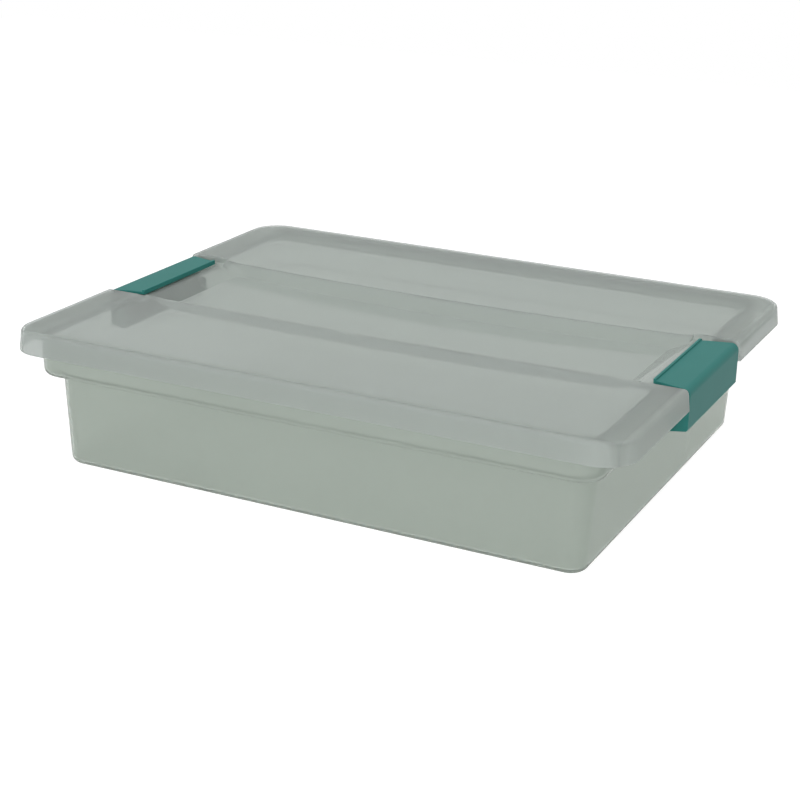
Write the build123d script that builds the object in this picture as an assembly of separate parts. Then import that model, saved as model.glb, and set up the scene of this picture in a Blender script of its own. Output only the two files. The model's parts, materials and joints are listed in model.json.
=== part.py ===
from build123d import *
import math
import os

# Clip-lock storage box: a translucent tub, a lift-off lid and two end latches.
# Millimetres. The origin is on the table under the middle of the box.
# X runs along the box from latch to latch, Y across it and Z up.

# Overall sizes
lid_length = 355.6
lid_width = 279.4
rim_height = 78.0

# Lid
lid_wall = 1.5
skirt_height = 11.6
skirt_flare = 1.3
lid_corner = 19.5
lid_top_edge = 2.5
panel_drop = 1.1
panel_sag = 1.5
panel_inset_x = 22.0
panel_inset_y = 14.0
panel_slope = 14.0
rib_wall = 1.3
rib_height = 4.0

# Channel that crosses the lid from latch to latch
channel_width = 88.0
channel_depth = 8.0
channel_sag = 3.2
channel_end_inset = 37.8
channel_end_angle = 23.0
channel_side_angle = 57.0
channel_corner = 9.0
channel_root = 1.6

# Tub, set in from the lid's outline
tub_wall = 1.5
floor_thickness = 1.8
band_inset_x = 15.2
band_inset_y = 5.8
band_height = 24.8
band_lean = 0.7
band_corner = 12.5
band_edge = 4.0
ledge_inset_x = 9.4
ledge_inset_y = 10.9
ledge_root = 2.5
wall_lean = 2.8
base_corner = 10.0
base_edge = 4.5
rim_plate = 1.5
end_lip_height = 4.5

# Latches
latch_plate = 2.0
flange_plate = 1.8
latch_face_inset = 0.8
latch_recess = 0.9
latch_height = 22.8
latch_half_outer = 43.0
flange_taper = 4.5
flange_reach = 21.4
latch_bend = 4.0
latch_foot_edge = 1.5
return_drop = 1.3
end_web = 1.5
end_web_height = 10.0
lip_rise = 1.0
lip_width = 1.6
bead_radius = 0.8
bead_inset = 2.2
latch_swing = 125.0

# Hinge under each end of the tub's rim
hinge_inset = 9.0
rod_radius = 1.4
rod_clearance = 0.07
hook_wall = 1.4
hook_width = 3.2
hook_end_margin = 16.0
hook_mouth = 2.3
mouth_angle = -50.0
knuckle_radius = 2.4
knuckle_gap = 0.4

# Fits between the mouldings
seat_gap = 0.3
lid_gap = 0.6
latch_gap = 0.6
pocket_side_gap = 2.0
pocket_back_gap = 5.1
pocket_draft = 0.35
pocket_corner = 3.5
groove_depth = 0.6
groove_radius = 5.0

# Places worked out from the sizes above
half_length = lid_length / 2
half_width = lid_width / 2
skirt_foot = rim_height - skirt_height
lid_under = rim_height - lid_wall
ledge_height = rim_height - band_height
band_length = lid_length - 2 * band_inset_x
band_width = lid_width - 2 * band_inset_y
base_length = band_length - 2 * ledge_inset_x
base_width = band_width - 2 * ledge_inset_y
rim_inset = skirt_flare + lid_wall + lid_gap
rim_top = lid_under - seat_gap
latch_face = half_length - latch_face_inset
latch_top = rim_height - latch_recess
latch_bottom = latch_top - latch_height
latch_tip = latch_face - flange_reach
return_foot = latch_bottom - return_drop
latch_half_inner = latch_half_outer - flange_taper
flange_under = latch_top - flange_plate
bead_x = latch_tip + bead_inset
hinge_x = latch_face - hinge_inset
hinge_z = return_foot + knuckle_radius
hook_offset = latch_half_outer - hook_end_margin
hook_eye = rod_radius + rod_clearance + hook_wall
pocket_floor = flange_under - latch_gap
pocket_face = latch_face - latch_plate - latch_gap
pocket_half = latch_half_outer + pocket_side_gap
pocket_start = latch_tip - pocket_back_gap
saddle_top = pocket_floor - lid_wall - seat_gap
saddle_face = pocket_face - lid_wall - lid_gap
saddle_half = pocket_half + lid_wall + pocket_draft * (rim_height - pocket_floor) + lid_gap
high = rim_height + 12


def rounded_plate(length, width, radius, z):
    """A flat rounded rectangle at height z."""
    return Plane.XY.offset(z) * RectangleRounded(length, width, radius)


def frustum(low, top):
    """A solid between two rounded rectangles, each given as length, width, radius, z."""
    return loft([rounded_plate(*low), rounded_plate(*top)], ruled=True)


def block(x0, x1, y0, y1, z0, z1):
    """An axis-aligned block from its limits."""
    return Pos((x0 + x1) / 2, (y0 + y1) / 2, (z0 + z1) / 2) * Box(x1 - x0, y1 - y0, z1 - z0)


def along_y(points, half, middle=0.0):
    """A polygon of (x, z) points extruded to both sides of y = middle."""
    face = make_face(Polyline([(x, 0, z) for x, z in points], close=True))
    return Pos(0, middle, 0) * extrude(face, half, (0, 1, 0), both=True)


def along_x(points, half):
    """A polygon of (y, z) points extruded to both sides of x = 0."""
    face = make_face(Polyline([(0, y, z) for y, z in points], close=True))
    return extrude(face, half, (1, 0, 0), both=True)


def rod_along_y(radius, x, z, half, middle=0.0):
    """A round bar parallel to Y."""
    return Pos(x, middle, z) * Rot(90, 0, 0) * Cylinder(radius, 2 * half)


def edges_at(shape, z, tolerance=0.02):
    """The edges that lie wholly at height z."""
    boxes = [(e, e.bounding_box()) for e in shape.edges()]
    return [e for e, b in boxes if abs(b.min.Z - z) < tolerance and abs(b.max.Z - z) < tolerance]


def tub_form(inset, floor, top):
    """The tub's outer form, or its cavity where inset is the wall thickness."""
    ledge = ledge_height + inset
    overlap = 10.0
    lean = wall_lean * (ledge + overlap) / ledge_height
    lower = frustum(
        (base_length - 2 * inset, base_width - 2 * inset, base_corner - inset, floor),
        (
            base_length + 2 * lean - 2 * inset,
            base_width + 2 * lean - 2 * inset,
            base_corner + lean - inset,
            ledge + overlap,
        ),
    )
    lower = fillet(edges_at(lower, floor), base_edge - inset)
    flare = band_lean * (top - ledge) / (rim_top - ledge_height)
    band = frustum(
        (band_length - 2 * inset, band_width - 2 * inset, band_corner - inset, ledge),
        (
            band_length + 2 * flare - 2 * inset,
            band_width + 2 * flare - 2 * inset,
            band_corner + flare - inset,
            top,
        ),
    )
    band = fillet(edges_at(band, ledge), band_edge - inset)
    form = lower + band
    inside_band = base_length + 2 * wall_lean + 4
    root = [e for e in edges_at(form, ledge) if e.bounding_box().size.X < inside_band]
    return fillet(root, ledge_root + inset)


def hook(y):
    """One snap hook that holds the right latch's rod: a bored eye on a gusset, open below."""
    swing = math.radians(latch_swing)
    tangent = (hinge_x - hook_eye * math.sin(swing), hinge_z - hook_eye * math.cos(swing))
    wall_x = band_length / 2 - tub_wall / 2
    gusset = along_y(
        [
            (hinge_x, hinge_z),
            tangent,
            (wall_x, hinge_z + 0.5),
            (wall_x, saddle_top - rim_plate / 2),
            (hinge_x + hook_eye + 1.2, saddle_top - rim_plate / 2),
            (hinge_x + hook_eye, hinge_z + 0.5),
            (hinge_x + hook_eye, hinge_z),
        ],
        hook_width / 2,
        y,
    )
    solid = gusset + rod_along_y(hook_eye, hinge_x, hinge_z, hook_width / 2, y)
    solid -= rod_along_y(rod_radius + rod_clearance, hinge_x, hinge_z, hook_width, y)
    mouth = Pos(hook_eye, 0, 0) * Box(2 * hook_eye, 2 * hook_width, hook_mouth)
    return solid - Pos(hinge_x, y, hinge_z) * Rot(0, -mouth_angle, 0) * mouth


def tub_end():
    """The right end's additions: the low saddle of the rim, its webs, end lips and hooks."""
    wall_x = band_length / 2 - tub_wall / 2
    outer_half = saddle_half + rim_plate
    saddle = block(wall_x, saddle_face, -outer_half, outer_half, saddle_top - rim_plate, saddle_top)
    corner = saddle.edges().filter_by(Axis.Y).group_by(Axis.Z)[-1].sort_by(Axis.X)[-1]
    saddle = fillet(corner, pocket_corner - lid_wall - lid_gap)
    parts = [saddle, hook(hook_offset), hook(-hook_offset)]
    rim_x = half_length - rim_inset
    lip_end = half_width - lid_corner - lid_wall
    for side in (-1, 1):
        web = sorted((side * saddle_half, side * outer_half))
        parts.append(block(wall_x, saddle_face, *web, saddle_top - rim_plate, rim_top))
        lip = sorted((side * saddle_half, side * lip_end))
        parts.append(block(rim_x - rim_plate, rim_x, *lip, rim_top - end_lip_height, rim_top))
    return parts


def make_tub():
    """The tub: a thin stepped tray with a rim flange, latch saddles and hinge hooks."""
    cavity = tub_form(tub_wall, floor_thickness, high)
    flange = frustum(
        (lid_length - 2 * rim_inset, lid_width - 2 * rim_inset, lid_corner - rim_inset, rim_top - rim_plate),
        (lid_length - 2 * rim_inset, lid_width - 2 * rim_inset, lid_corner - rim_inset, rim_top),
    )
    flange = fillet(edges_at(flange, rim_top), rim_plate / 2)
    tub = tub_form(0, 0, rim_top) + flange
    notch_x = band_length / 2 - 4 * tub_wall
    for side in (-1, 1):
        notch = sorted((side * notch_x, side * half_length))
        tub -= block(*notch, -saddle_half, saddle_half, saddle_top, high)
    end = Part() + tub_end()
    tub = tub + end + mirror(end, Plane.YZ)
    return tub - cavity


def lid_form(inset, bottom):
    """The lid's outer form without its cuts, or the hollow under it where inset is the wall."""
    per_mm = skirt_flare / skirt_height
    foot_out = per_mm * (skirt_foot - bottom) - inset
    top_out = -skirt_flare - inset
    top = rim_height - inset
    form = frustum(
        (lid_length + 2 * foot_out, lid_width + 2 * foot_out, lid_corner + foot_out, bottom),
        (lid_length + 2 * top_out, lid_width + 2 * top_out, lid_corner + top_out, top),
    )
    return fillet(edges_at(form, top), lid_top_edge - inset)


def dish(half, z, sag, rise_x, top, depth_y):
    """A face in the XZ plane: a sagging floor, sloping ends that rise to top, and a flat lid."""
    end = half + rise_x
    floor = ThreePointArc((-half, 0, z), (0, 0, z - sag), (half, 0, z))
    walls = Polyline([(half, 0, z), (end, 0, top), (-end, 0, top), (-half, 0, z)])
    return extrude(make_face(floor + walls), depth_y, (0, 1, 0), both=True)


def panel_tool(inset):
    """What is cut away above the lid's two panels: a shallow dish with gently sloping sides."""
    level = rim_height - panel_drop - inset
    grade = panel_drop / panel_slope
    top = high
    rise = top - level
    half_x = half_length - panel_inset_x - panel_slope
    lengthwise = dish(half_x, level, panel_sag, rise / grade, top, half_width)
    edge_y = half_width - panel_inset_y
    low = rim_height - inset - panel_drop - panel_sag - 1
    run = (rim_height - inset - low) / grade
    up = (top - rim_height + inset) / grade
    across = along_x(
        [
            (-edge_y - up, top),
            (-edge_y + run, low),
            (edge_y - run, low),
            (edge_y + up, top),
        ],
        half_length,
    )
    return lengthwise & across


def channel_tool(inset):
    """What is cut away for the channel: a sagging floor between sloping ends and sides."""
    floor = rim_height - channel_depth - inset
    end_grade = math.tan(math.radians(channel_end_angle))
    side_grade = math.tan(math.radians(channel_side_angle))
    end_shift = inset / math.sin(math.radians(channel_end_angle)) - inset / end_grade
    side_shift = inset / math.sin(math.radians(channel_side_angle)) - inset / side_grade
    half_x = half_length - channel_end_inset + end_shift
    lengthwise = dish(half_x, floor, channel_sag, (high - floor) / end_grade, high, half_width)
    side_top = channel_width / 2 + side_shift + inset / side_grade
    low = floor - channel_sag - 1
    across = along_x(
        [
            (-side_top - (high - rim_height) / side_grade, high),
            (-side_top + (rim_height - low) / side_grade, low),
            (side_top - (rim_height - low) / side_grade, low),
            (side_top + (high - rim_height) / side_grade, high),
        ],
        2 * half_length,
    )
    tool = lengthwise & across
    upright = [e for e in tool.edges() if e.bounding_box().size.Z > high - floor - 0.5]
    tool = fillet(upright, channel_corner + inset)
    root = [e for e in tool.edges() if e.bounding_box().max.Z < floor + 0.05]
    return fillet(root, channel_root + inset)


def pocket_tool(inset):
    """What is cut away at the lid's right end so that the latch lies flush."""
    floor = pocket_floor - inset
    half = pocket_half + inset
    top_half = half + pocket_draft * (high - floor)
    start = pocket_start - inset
    end = half_length + 10
    over = loft(
        [
            Pos((start + end) / 2, 0, floor) * Rectangle(end - start, 2 * half),
            Pos((start + end) / 2, 0, high) * Rectangle(end - start, 2 * top_half),
        ],
        ruled=True,
    )
    face = block(pocket_face - inset, end, -half, half, skirt_foot - 20, floor + 1)
    tool = over + face
    brow = [
        e for e in tool.edges().filter_by(Axis.Y)
        if abs(e.center().X - pocket_face + inset) < 0.01 and abs(e.center().Z - floor) < 0.01
    ]
    tool = fillet(brow, pocket_corner - inset)
    centre_z = pocket_floor + groove_radius - groove_depth
    return tool + rod_along_y(groove_radius + inset, bead_x, centre_z, half - 2)


def carve(form, inset):
    """The form with panels, channel and latch pockets cut into it."""
    form -= panel_tool(inset)
    form -= channel_tool(inset)
    pocket = pocket_tool(inset)
    form -= pocket
    return form - mirror(pocket, Plane.YZ)


def make_lid():
    """The lid: a thin cover with a skirt, a raised rim, panels, a channel and latch pockets."""
    shell = carve(lid_form(0, skirt_foot), 0) - carve(lid_form(lid_wall, skirt_foot - 5), lid_wall)
    rib_out = tub_wall + lid_gap - band_lean
    ring = frustum(
        (band_length - 2 * rib_out, band_width - 2 * rib_out, band_corner - rib_out, lid_under - rib_height),
        (band_length - 2 * rib_out, band_width - 2 * rib_out, band_corner - rib_out, lid_under + lid_wall / 3),
    )
    rib_in = rib_out + rib_wall
    ring -= frustum(
        (band_length - 2 * rib_in, band_width - 2 * rib_in, band_corner - rib_in, lid_under - rib_height),
        (band_length - 2 * rib_in, band_width - 2 * rib_in, band_corner - rib_in, lid_under + lid_wall / 3),
    )
    gap = saddle_half + rim_plate
    ring -= block(-half_length, half_length, -gap, gap, 0, high)
    return shell + ring


def make_latch():
    """The right latch: a top flange, an outer wall and a bottom return that ends in a hinge rod."""
    inner_x = latch_face - latch_plate
    outline = [
        (latch_tip, flange_under),
        (latch_tip, latch_top + lip_rise),
        (latch_tip + lip_width, latch_top + lip_rise),
        (latch_tip + lip_width, latch_top),
        (latch_face, latch_top),
        (latch_face, latch_bottom),
        (hinge_x, return_foot),
        (hinge_x, return_foot + latch_plate),
        (inner_x, latch_bottom + latch_plate),
        (inner_x, flange_under),
    ]
    body = along_y(outline, latch_half_outer)

    def corner(x, z):
        return [
            e for e in body.edges().filter_by(Axis.Y)
            if abs(e.center().X - x) < 0.01 and abs(e.center().Z - z) < 0.01
        ]

    body = fillet(corner(latch_face, latch_top), latch_bend)
    body = fillet(corner(inner_x, flange_under), latch_bend - latch_plate)
    body = fillet(corner(latch_face, latch_bottom), latch_foot_edge)
    body += rod_along_y(knuckle_radius, hinge_x, hinge_z, latch_half_outer)
    body += rod_along_y(bead_radius, bead_x, flange_under, latch_half_inner - 2)
    slot_reach = hook_eye + knuckle_gap
    slot_half = hook_width / 2 + knuckle_gap
    for y in (-hook_offset, hook_offset):
        body -= block(
            hinge_x - knuckle_radius - 1,
            hinge_x + slot_reach,
            y - slot_half,
            y + slot_half,
            return_foot - 1,
            hinge_z + knuckle_radius + 1,
        )
    body += rod_along_y(rod_radius, hinge_x, hinge_z, latch_half_outer - 1)
    web = [
        (hinge_x - knuckle_radius, hinge_z),
        (hinge_x - knuckle_radius, latch_bottom + end_web_height),
        (latch_face - latch_plate / 2, latch_bottom + end_web_height),
        (latch_face - latch_plate / 2, latch_bottom + latch_plate / 2),
        (hinge_x, return_foot + latch_plate / 2),
    ]
    slope = latch_half_outer - latch_half_inner
    for side in (-1, 1):
        body += along_y(web, end_web / 2, side * (latch_half_outer - end_web / 2))
        wedge = Polyline(
            [
                (latch_tip - 1, side * (latch_half_inner - slope / (flange_reach - latch_bend)), 0),
                (latch_face - latch_bend, side * latch_half_outer, 0),
                (latch_tip - 1, side * (latch_half_outer + 5), 0),
                (latch_tip - 1, side * (latch_half_inner - slope / (flange_reach - latch_bend)), 0),
            ]
        )
        cut = Pos(0, 0, flange_under - 2) * extrude(make_face(wedge), 10, (0, 0, 1))
        body -= cut
    return body


tub = make_tub()
lid = make_lid()
right_latch = make_latch()
left_latch = mirror(right_latch, Plane.YZ)

os.makedirs("parts", exist_ok=True)
for name, shape in (
    ("tub", tub),
    ("lid", lid),
    ("right_latch", right_latch),
    ("left_latch", left_latch),
):
    solids = shape.solids()
    export_step(solids[0] if len(solids) == 1 else shape, f"parts/{name}.step")
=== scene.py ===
"""Looks of a clip-lock storage box: smoke-clear polypropylene tub and lid, two teal end latches.

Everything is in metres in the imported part's own frame: X from latch to latch, Y across, Z up.
Sizes of patterns and edges are written in millimetres and turned to metres by MM.
"""

import json
import logging
import math
from dataclasses import dataclass
from enum import Enum

import bpy
from mathutils import Matrix, Vector

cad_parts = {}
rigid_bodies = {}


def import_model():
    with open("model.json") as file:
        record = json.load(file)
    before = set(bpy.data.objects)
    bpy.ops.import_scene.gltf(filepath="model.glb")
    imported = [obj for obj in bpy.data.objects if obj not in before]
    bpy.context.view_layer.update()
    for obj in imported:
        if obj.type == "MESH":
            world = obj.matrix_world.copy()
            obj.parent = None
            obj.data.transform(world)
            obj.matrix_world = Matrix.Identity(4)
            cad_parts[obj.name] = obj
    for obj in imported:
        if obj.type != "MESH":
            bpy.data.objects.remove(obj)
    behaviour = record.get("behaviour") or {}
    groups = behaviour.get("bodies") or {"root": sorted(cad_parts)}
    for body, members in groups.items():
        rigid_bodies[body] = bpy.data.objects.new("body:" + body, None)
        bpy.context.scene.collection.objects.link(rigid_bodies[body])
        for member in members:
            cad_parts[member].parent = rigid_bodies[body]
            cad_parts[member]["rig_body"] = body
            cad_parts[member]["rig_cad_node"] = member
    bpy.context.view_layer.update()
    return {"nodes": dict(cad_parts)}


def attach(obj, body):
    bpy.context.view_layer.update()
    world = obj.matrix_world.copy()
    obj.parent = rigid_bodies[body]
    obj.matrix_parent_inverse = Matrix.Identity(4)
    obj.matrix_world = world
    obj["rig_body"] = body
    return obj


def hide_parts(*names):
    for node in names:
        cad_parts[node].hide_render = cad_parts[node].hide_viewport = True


log = logging.getLogger("storage_box")
logging.basicConfig(level=logging.INFO, format="%(name)s: %(message)s")

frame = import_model()

MM = 0.001

Colour = tuple[float, float, float, float]
Place = tuple[float, float, float]


def linear(code: str) -> Colour:
    """Turns an sRGB hex colour into the linear colour that shaders use.

    Args:
        code: six hex digits, such as "a3aea4".

    Returns:
        Red, green, blue and an alpha of 1, all linear.
    """
    parts = [int(code[i : i + 2], 16) / 255 for i in (0, 2, 4)]
    lin = [c / 12.92 if c <= 0.04045 else ((c + 0.055) / 1.055) ** 2.4 for c in parts]
    return lin[0], lin[1], lin[2], 1.0


def add_node(
    tree: bpy.types.NodeTree,
    kind: str,
    settings: dict[str, object] | None = None,
    inputs: dict[str | int, object] | None = None,
) -> bpy.types.Node:
    """Adds one shader node with its settings, values and links.

    Args:
        tree: the material's node tree.
        kind: the node's type name.
        settings: attributes of the node.
        inputs: values or output sockets for the node's inputs, by name or number.

    Returns:
        The new node.
    """
    node = tree.nodes.new(kind)
    for name, value in (settings or {}).items():
        setattr(node, name, value)
    for name, value in (inputs or {}).items():
        if isinstance(value, bpy.types.NodeSocket):
            tree.links.new(value, node.inputs[name])
        else:
            node.inputs[name].default_value = value
    return node


def fresh_tree(name: str) -> tuple[bpy.types.Material, bpy.types.NodeTree]:
    """Makes a material with an empty node tree.

    Args:
        name: the material's name.

    Returns:
        The material and its tree.
    """
    material = bpy.data.materials.new(name)
    material.use_nodes = True
    material.node_tree.nodes.clear()
    return material, material.node_tree


@dataclass(frozen=True)
class MouldedPolypropylene:
    """Injection-moulded polypropylene: the clouded colour and the moulded skin of every grade.

    Args:
        name: the material's name.
        tint: the plastic's colour.
        deep_tint: its colour in the clouds, where more of the pigment flowed.
        roughness: how far its skin spreads gloss.
        grain_mm: size of one grain of the skin.
        grain_depth_mm: height of a grain.
        ripple_mm: length of one slow ripple of the wall.
        cloud_mm: width of one cloud.
        grain_strength: how much of the grain shows.
        ripple_strength: how much of the ripple shows.
        ripple_rise: a ripple is this many grains high.
    """

    name: str
    tint: str
    deep_tint: str
    roughness: float
    grain_mm: float
    grain_depth_mm: float
    ripple_mm: float
    cloud_mm: float
    grain_strength: float = 0.3
    ripple_strength: float = 0.35
    ripple_rise: float = 3

    def clouded_tint(
        self, tree: bpy.types.NodeTree, place: bpy.types.Node
    ) -> bpy.types.NodeSocket:
        """Mixes the colour: slow, faint clouds where the melt flowed.

        Args:
            tree: the material's node tree.
            place: the texture coordinate node.

        Returns:
            A socket with the colour at each place.
        """
        clouds = add_node(
            tree,
            "ShaderNodeTexNoise",
            {"noise_dimensions": "3D"},
            {"Vector": place.outputs["Object"], "Scale": 1 / (self.cloud_mm * MM), "Detail": 2.0},
        )
        tint = add_node(
            tree,
            "ShaderNodeMix",
            {"data_type": "RGBA"},
            {0: clouds.outputs[0], 6: linear(self.tint), 7: linear(self.deep_tint)},
        )
        return tint.outputs[2]

    def moulded_skin(
        self, tree: bpy.types.NodeTree, place: bpy.types.Node
    ) -> bpy.types.NodeSocket:
        """Roughens the face: the mould's fine grain over a slow ripple of the wall.

        Args:
            tree: the material's node tree.
            place: the texture coordinate node.

        Returns:
            A socket with the bent normal.
        """
        grain = add_node(
            tree,
            "ShaderNodeTexNoise",
            {"noise_dimensions": "3D"},
            {"Vector": place.outputs["Object"], "Scale": 1 / (self.grain_mm * MM), "Detail": 2.0},
        )
        ripple = add_node(
            tree,
            "ShaderNodeTexNoise",
            {"noise_dimensions": "3D"},
            {"Vector": place.outputs["Object"], "Scale": 1 / (self.ripple_mm * MM), "Detail": 1.0},
        )
        ripple_bump = add_node(
            tree,
            "ShaderNodeBump",
            None,
            {
                "Strength": self.ripple_strength,
                "Distance": self.ripple_rise * self.grain_depth_mm * MM,
                "Height": ripple.outputs[0],
            },
        )
        grain_bump = add_node(
            tree,
            "ShaderNodeBump",
            None,
            {
                "Strength": self.grain_strength,
                "Distance": self.grain_depth_mm * MM,
                "Height": grain.outputs[0],
                "Normal": ripple_bump.outputs[0],
            },
        )
        return grain_bump.outputs[0]


@dataclass(frozen=True)
class SmokePolypropylene(MouldedPolypropylene):
    """Clear-grade polypropylene, injection moulded in a polished mould.

    The eye sees through it: a grey-green smoke tint that deepens with each wall, a slight milky
    haze where light scatters in the wall, little glare, and slow clouds where the melt flowed.

    Args:
        haze: colour of the milky haze.
        milkiness: share of the light that the haze scatters.
        clearness: share of the rest that goes through the wall.
        ior: how much the wall bends light and mirrors the room.
        skirt_half_mm: half length and half width inside which the wall is polished; outside them
            stands a matt skirt, and None means no skirt.
        skirt_ramp_mm: over this distance the polish turns matt.
        skirt_frost: how much milkier the skirt is.
        scatter_back: share of the haze that is sent back instead of on through the wall.
    """

    tint: str = "d8ded8"
    deep_tint: str = "d5dbd5"
    roughness: float = 0.06
    # A polished mould's own grain is under 0.05 mm: it is drawn coarser, so that it shows at all.
    grain_mm: float = 0.8
    grain_depth_mm: float = 0.006
    ripple_mm: float = 18.0
    cloud_mm: float = 90.0
    haze: str = "e3e9e4"
    milkiness: float = 0.125
    clearness: float = 0.80
    # Solid polypropylene has 1.49. In a white room that draws dark wedges in the lid's channel,
    # which the photograph doesn't show, so the value is matched to its even, quiet walls.
    ior: float = 1.1
    skirt_half_mm: tuple[float, float] | None = None
    skirt_ramp_mm: float = 3.0
    skirt_frost: float = 0.32
    scatter_back: float = 0.4

    def frost(self, tree: bpy.types.NodeTree, place: bpy.types.Node) -> bpy.types.NodeSocket:
        """Finds how milky the wall is: the outside of a skirt is matt, the rest is polished.

        Args:
            tree: the material's node tree.
            place: the texture coordinate node.

        Returns:
            A socket with the share of haze at each place.
        """
        parts = add_node(
            tree, "ShaderNodeSeparateXYZ", None, {"Vector": place.outputs["Object"]}
        )
        beyond = []
        for axis, half in zip("XY", self.skirt_half_mm):
            far = add_node(
                tree, "ShaderNodeMath", {"operation": "ABSOLUTE"}, {0: parts.outputs[axis]}
            )
            past = add_node(
                tree, "ShaderNodeMath", {"operation": "SUBTRACT"}, {0: far.outputs[0], 1: half * MM}
            )
            beyond.append(past.outputs[0])
        edge = add_node(
            tree, "ShaderNodeMath", {"operation": "MAXIMUM"}, {0: beyond[0], 1: beyond[1]}
        )
        share = add_node(
            tree,
            "ShaderNodeMapRange",
            None,
            {
                "Value": edge.outputs[0],
                "From Min": 0.0,
                "From Max": self.skirt_ramp_mm * MM,
                "To Min": self.milkiness,
                "To Max": self.milkiness + self.skirt_frost,
            },
        )
        return share.outputs[0]

    def material(self) -> bpy.types.Material:
        """Mixes the clear wall with its milky haze.

        Returns:
            The finished material.
        """
        material, tree = fresh_tree(self.name)
        place = add_node(tree, "ShaderNodeTexCoord")
        wall = add_node(
            tree,
            "ShaderNodeBsdfPrincipled",
            None,
            {
                "Base Color": self.clouded_tint(tree, place),
                "Roughness": self.roughness,
                "IOR": self.ior,
                "Transmission Weight": self.clearness,
                "Normal": self.moulded_skin(tree, place),
            },
        )
        through = add_node(tree, "ShaderNodeBsdfTranslucent", None, {"Color": linear(self.haze)})
        back = add_node(tree, "ShaderNodeBsdfDiffuse", None, {"Color": linear(self.haze)})
        milk = add_node(
            tree,
            "ShaderNodeMixShader",
            None,
            {0: self.scatter_back, 1: through.outputs[0], 2: back.outputs[0]},
        )
        share = self.frost(tree, place) if self.skirt_half_mm else self.milkiness
        mixed = add_node(
            tree,
            "ShaderNodeMixShader",
            None,
            {0: share, 1: wall.outputs[0], 2: milk.outputs[0]},
        )
        add_node(tree, "ShaderNodeOutputMaterial", None, {"Surface": mixed.outputs[0]})
        return material


@dataclass(frozen=True)
class TealPolypropylene(MouldedPolypropylene):
    """Opaque teal polypropylene, injection moulded in a finely spark-eroded mould.

    The eye sees an even, saturated satin teal with a soft sheen, faintly uneven like orange peel.

    Args:
        ior: polypropylene's own.
        sheen_level: how much of the mirrored room the satin skin keeps.
    """

    tint: str = "42908a"
    deep_tint: str = "3f8a83"
    roughness: float = 0.42
    # Spark-eroded grain is about 0.05 mm: it is drawn coarser, so that it shows at all.
    grain_mm: float = 0.9
    grain_depth_mm: float = 0.03
    ripple_mm: float = 9.0
    cloud_mm: float = 30.0
    ior: float = 1.49
    sheen_level: float = 0.05

    def material(self) -> bpy.types.Material:
        """Dresses the plastic as one opaque satin shader.

        Returns:
            The finished material.
        """
        material, tree = fresh_tree(self.name)
        place = add_node(tree, "ShaderNodeTexCoord")
        satin = add_node(
            tree,
            "ShaderNodeBsdfPrincipled",
            None,
            {
                "Base Color": self.clouded_tint(tree, place),
                "Roughness": self.roughness,
                "IOR": self.ior,
                "Specular IOR Level": self.sheen_level,
                "Normal": self.moulded_skin(tree, place),
            },
        )
        add_node(tree, "ShaderNodeOutputMaterial", None, {"Surface": satin.outputs[0]})
        return material


class BoxNode(Enum):
    """The CAD pieces that the looks are put on."""

    TUB = "tub"
    LID = "lid"
    RIGHT_LATCH = "right_latch"
    LEFT_LATCH = "left_latch"


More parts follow.
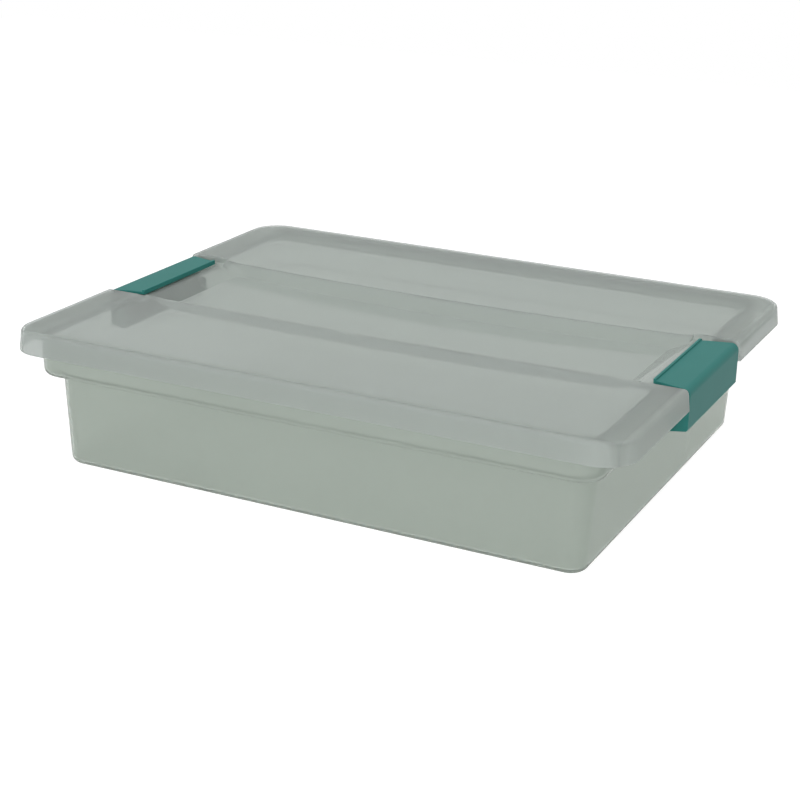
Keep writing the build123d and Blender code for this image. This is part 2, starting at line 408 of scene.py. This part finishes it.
@dataclass
class Moulding:
    """One moulded piece of the box: its CAD solid, its eased edges and its plastic.

    Args:
        node: the CAD piece that it stands for.
        edge_mm: width of the eased edge where two faces meet, or 0 for none.
        edge_steps: steps across an eased edge.
        crease_deg: edges that turn more than this are eased, and shaded as creases.
        merge_mm: corners closer than this are one corner.
        flat_deg: triangles that turn less than this are one flat face.
        flat_weight: how strongly a large flat face holds the shading of its corners.
    """

    node: BoxNode
    edge_mm: float
    edge_steps: int = 2
    crease_deg: float = 32.0
    merge_mm: float = 0.001
    flat_deg: float = 0.25
    flat_weight: int = 80

    def merged_copy(self) -> bpy.types.Object:
        """Copies the CAD piece and joins its loose triangles into one closed skin of flat faces.

        Returns:
            The copy, with its own mesh.
        """
        source = frame["nodes"][self.node.value]
        bpy.ops.object.select_all(action="DESELECT")
        source.select_set(True)
        bpy.context.view_layer.objects.active = source
        bpy.ops.object.duplicate()
        piece = bpy.context.object
        piece.parent = None
        piece.name = f"{self.node.value}_moulding"
        piece.data.name = piece.name
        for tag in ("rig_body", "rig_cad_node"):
            if tag in piece:
                del piece[tag]
        piece.data.materials.clear()
        bpy.ops.object.mode_set(mode="EDIT")
        bpy.ops.mesh.select_all(action="SELECT")
        bpy.ops.mesh.customdata_custom_splitnormals_clear()
        bpy.ops.mesh.remove_doubles(threshold=self.merge_mm * MM)
        bpy.ops.mesh.dissolve_limited(angle_limit=math.radians(self.flat_deg))
        bpy.ops.object.mode_set(mode="OBJECT")
        return piece

    def ease_edges(self, piece: bpy.types.Object) -> None:
        """Rounds the piece's crisp edges, as a mould's edges are.

        Args:
            piece: the merged copy.
        """
        bevel = piece.modifiers.new("eased_edges", "BEVEL")
        bevel.width = self.edge_mm * MM
        bevel.segments = self.edge_steps
        bevel.limit_method = "ANGLE"
        bevel.angle_limit = math.radians(self.crease_deg)
        bevel.use_clamp_overlap = False
        bevel.miter_outer = "MITER_SHARP"
        bpy.ops.object.modifier_apply(modifier=bevel.name)

    def smooth_fillets(self, piece: bpy.types.Object) -> None:
        """Shades the fillets smoothly and keeps the flat faces flat.

        Args:
            piece: the merged copy.
        """
        bpy.ops.object.shade_smooth_by_angle(angle=math.radians(self.crease_deg))
        normals = piece.modifiers.new("flat_faces_stay_flat", "WEIGHTED_NORMAL")
        normals.weight = self.flat_weight
        normals.keep_sharp = True
        bpy.ops.object.modifier_apply(modifier=normals.name)

    def build(self, plastic: bpy.types.Material) -> bpy.types.Object:
        """Builds the piece, dresses it and lets it ride on its body.

        Args:
            plastic: its finish.

        Returns:
            The finished piece.
        """
        piece = self.merged_copy()
        if self.edge_mm > 0:
            self.ease_edges(piece)
        self.smooth_fillets(piece)
        piece.data.materials.append(plastic)
        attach(piece, self.node.value)
        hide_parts(self.node.value)
        log.info("%s: %d faces, %s", piece.name, len(piece.data.polygons), plastic.name)
        return piece


@dataclass
class Tub(Moulding):
    """The tub: a thin stepped tray with a rim flange and hinge hooks."""

    node: BoxNode = BoxNode.TUB
    edge_mm: float = 0.0

    def plastic(self) -> bpy.types.Material:
        """Mixes the tub's smoke-clear plastic."""
        return SmokePolypropylene("smoke_polypropylene_tub").material()


@dataclass
class Lid(Moulding):
    """The lift-off lid with its two panels, the channel across it and the latch pockets.

    Args:
        skirt_half_mm: half length and half width of the lid inside its matt skirt.
    """

    node: BoxNode = BoxNode.LID
    edge_mm: float = 0.0
    skirt_half_mm: tuple[float, float] = (172.0, 133.5)

    def plastic(self) -> bpy.types.Material:
        """Mixes the lid's plastic, a little less green than the tub's and matt on its skirt.

        Returns:
            The lid's material.
        """
        return SmokePolypropylene(
            "smoke_polypropylene_lid",
            tint="d9dedb",
            deep_tint="d6dad9",
            haze="e6ebe8",
            skirt_half_mm=self.skirt_half_mm,
        ).material()


@dataclass
class EndLatch(Moulding):
    """A latch that hinges under an end of the rim and folds up over the lid."""

    edge_mm: float = 0.35


@dataclass(frozen=True)
class Softbox:
    """One soft square lamp, turned to the box.

    Args:
        place: where it hangs, in metres.
        width: its side, in metres.
        power: its power, in watts.
    """

    place: Place
    width: float
    power: float


@dataclass
class Studio:
    """A white sweep, plain soft light and the camera at the photograph's angle.

    Args:
        floor_half: half the floor's side, in metres.
        floor_z: the floor's height, just under the box.
        paper_tint: the floor's colour, which lights the box from below.
        paper_roughness: how matt the paper is.
        shadow_tint: share of the light on the floor that its look shows, so that a shadow shows.
        shown_glow: brightness that the floor's look has in full shadow.
        camera_mm: the camera's place.
        right: the camera's axis that points right in the picture.
        up: the camera's axis that points up in the picture.
        lens: focal length in millimetres.
        sensor_mm: width of the camera's sensor.
        shift: how far the picture is moved across the sensor.
        sight: how far the camera sees, in metres.
        room_strength: light of the room on the box.
        aim: the place that the lamps are turned to.
        lamps: the lamps over the box, before it, behind its left end and behind its right end.
    """

    floor_half: float = 1.3
    floor_z: float = -0.0002
    paper_tint: str = "e8e8e8"
    paper_roughness: float = 0.5
    shadow_tint: str = "a8a8a8"
    shown_glow: float = 0.88
    camera_mm: Place = (412.00, -855.32, 370.59)
    right: Place = (0.8928303, 0.4499529, 0.0199098)
    up: Place = (-0.1698470, 0.2954229, 0.9401475)
    lens: float = 78.973
    sensor_mm: float = 36.0
    shift: tuple[float, float] = (0.00885, -0.00287)
    sight: float = 20.0
    room_strength: float = 0.15
    aim: Place = (0.0, 0.0, 0.04)
    lamps: tuple[Softbox, ...] = (
        Softbox((0.0, 0.3, 1.9), 2.0, 15.6),
        Softbox((0.35, -1.75, 0.5), 1.4, 21.0),
        Softbox((-1.7, 0.6, 0.9), 1.4, 2.0),
        Softbox((1.0, 1.8, 1.0), 1.4, 3.0),
    )

    def shown_white(self, tree: bpy.types.NodeTree) -> bpy.types.NodeSocket:
        """Tells rays that see the background from rays that carry its light.

        Args:
            tree: the floor's or the world's node tree.

        Returns:
            A socket that is 1 for rays that look at the background, straight, through plastic or
            in gloss, and 0 for the rest.
        """
        path = add_node(tree, "ShaderNodeLightPath")
        clear = add_node(
            tree,
            "ShaderNodeMath",
            {"operation": "MAXIMUM"},
            {0: path.outputs["Is Camera Ray"], 1: path.outputs["Is Transmission Ray"]},
        )
        seen = add_node(
            tree,
            "ShaderNodeMath",
            {"operation": "MAXIMUM"},
            {0: clear.outputs[0], 1: path.outputs["Is Glossy Ray"]},
        )
        return seen.outputs[0]

    def white_paper(self) -> bpy.types.Material:
        """Matt white paper: shown white where it is lit, a little darker in the box's shadow.

        Returns:
            The floor's material.
        """
        material, tree = fresh_tree("white_paper_sweep")
        paper = add_node(
            tree,
            "ShaderNodeBsdfDiffuse",
            None,
            {"Color": linear(self.paper_tint), "Roughness": self.paper_roughness},
        )
        shadow_catch = add_node(
            tree,
            "ShaderNodeBsdfDiffuse",
            None,
            {"Color": linear(self.shadow_tint), "Roughness": self.paper_roughness},
        )
        glow = add_node(
            tree,
            "ShaderNodeEmission",
            None,
            {"Color": linear("ffffff"), "Strength": self.shown_glow},
        )
        shown = add_node(
            tree, "ShaderNodeAddShader", None, {0: shadow_catch.outputs[0], 1: glow.outputs[0]}
        )
        blend = add_node(
            tree,
            "ShaderNodeMixShader",
            None,
            {0: self.shown_white(tree), 1: paper.outputs[0], 2: shown.outputs[0]},
        )
        add_node(tree, "ShaderNodeOutputMaterial", None, {"Surface": blend.outputs[0]})
        return material

    def floor(self) -> bpy.types.Object:
        """Lays the floor under the box.

        Returns:
            The floor object.
        """
        bpy.ops.object.select_all(action="DESELECT")
        bpy.ops.mesh.primitive_plane_add(size=2 * self.floor_half, location=(0, 0, self.floor_z))
        floor = bpy.context.object
        floor.name = "floor_sweep"
        floor.data.materials.append(self.white_paper())
        bpy.ops.object.transform_apply(location=True, rotation=True, scale=True)
        return floor

    def light(self) -> None:
        """Hangs the soft lamps. Gloss and clear plastic don't show them, so no glare clips."""
        for number, box in enumerate(self.lamps):
            lamp_data = bpy.data.lights.new(f"softbox_{number}", "AREA")
            lamp_data.size = box.width
            lamp_data.energy = box.power
            lamp = bpy.data.objects.new(f"softbox_{number}", lamp_data)
            lamp.location = box.place
            lamp.visible_glossy = False
            lamp.visible_transmission = False
            towards = Vector(self.aim) - Vector(box.place)
            lamp.rotation_euler = towards.to_track_quat("-Z", "Y").to_euler()
            bpy.context.scene.collection.objects.link(lamp)

    def room(self) -> None:
        """Sets the world: plain white to look at, and a weak even light on the box."""
        world = bpy.data.worlds.new("white_room")
        world.use_nodes = True
        tree = world.node_tree
        tree.nodes.clear()
        room = add_node(
            tree,
            "ShaderNodeBackground",
            None,
            {"Color": linear("ffffff"), "Strength": self.room_strength},
        )
        white = add_node(
            tree, "ShaderNodeBackground", None, {"Color": linear("ffffff"), "Strength": 1.0}
        )
        blend = add_node(
            tree,
            "ShaderNodeMixShader",
            None,
            {0: self.shown_white(tree), 1: room.outputs[0], 2: white.outputs[0]},
        )
        add_node(tree, "ShaderNodeOutputWorld", None, {"Surface": blend.outputs[0]})
        bpy.context.scene.world = world

    def camera(self) -> None:
        """Places the camera where the photograph was taken from."""
        data = bpy.data.cameras.new("photo_camera")
        data.lens = self.lens
        data.sensor_width = self.sensor_mm
        data.shift_x, data.shift_y = self.shift
        data.clip_end = self.sight
        camera = bpy.data.objects.new("photo_camera", data)
        right, up = Vector(self.right), Vector(self.up)
        back = right.cross(up)
        camera.matrix_world = Matrix(
            (
                (right.x, up.x, back.x, self.camera_mm[0] * MM),
                (right.y, up.y, back.y, self.camera_mm[1] * MM),
                (right.z, up.z, back.z, self.camera_mm[2] * MM),
                (0.0, 0.0, 0.0, 1.0),
            )
        )
        bpy.context.scene.collection.objects.link(camera)
        bpy.context.scene.camera = camera

    def build(self) -> None:
        """Sets up floor, lamps, world and camera."""
        self.floor()
        self.light()
        self.room()
        self.camera()
        bpy.context.scene.view_settings.view_transform = "Standard"
        log.info("studio: %d lamps, floor %.1f m wide", len(self.lamps), 2 * self.floor_half)


def main() -> None:
    tub = Tub()
    lid = Lid()
    tub.build(tub.plastic())
    lid.build(lid.plastic())
    teal = TealPolypropylene("teal_polypropylene").material()
    EndLatch(BoxNode.RIGHT_LATCH).build(teal)
    EndLatch(BoxNode.LEFT_LATCH).build(teal)
    Studio().build()


if __name__ == "__main__":
    main()
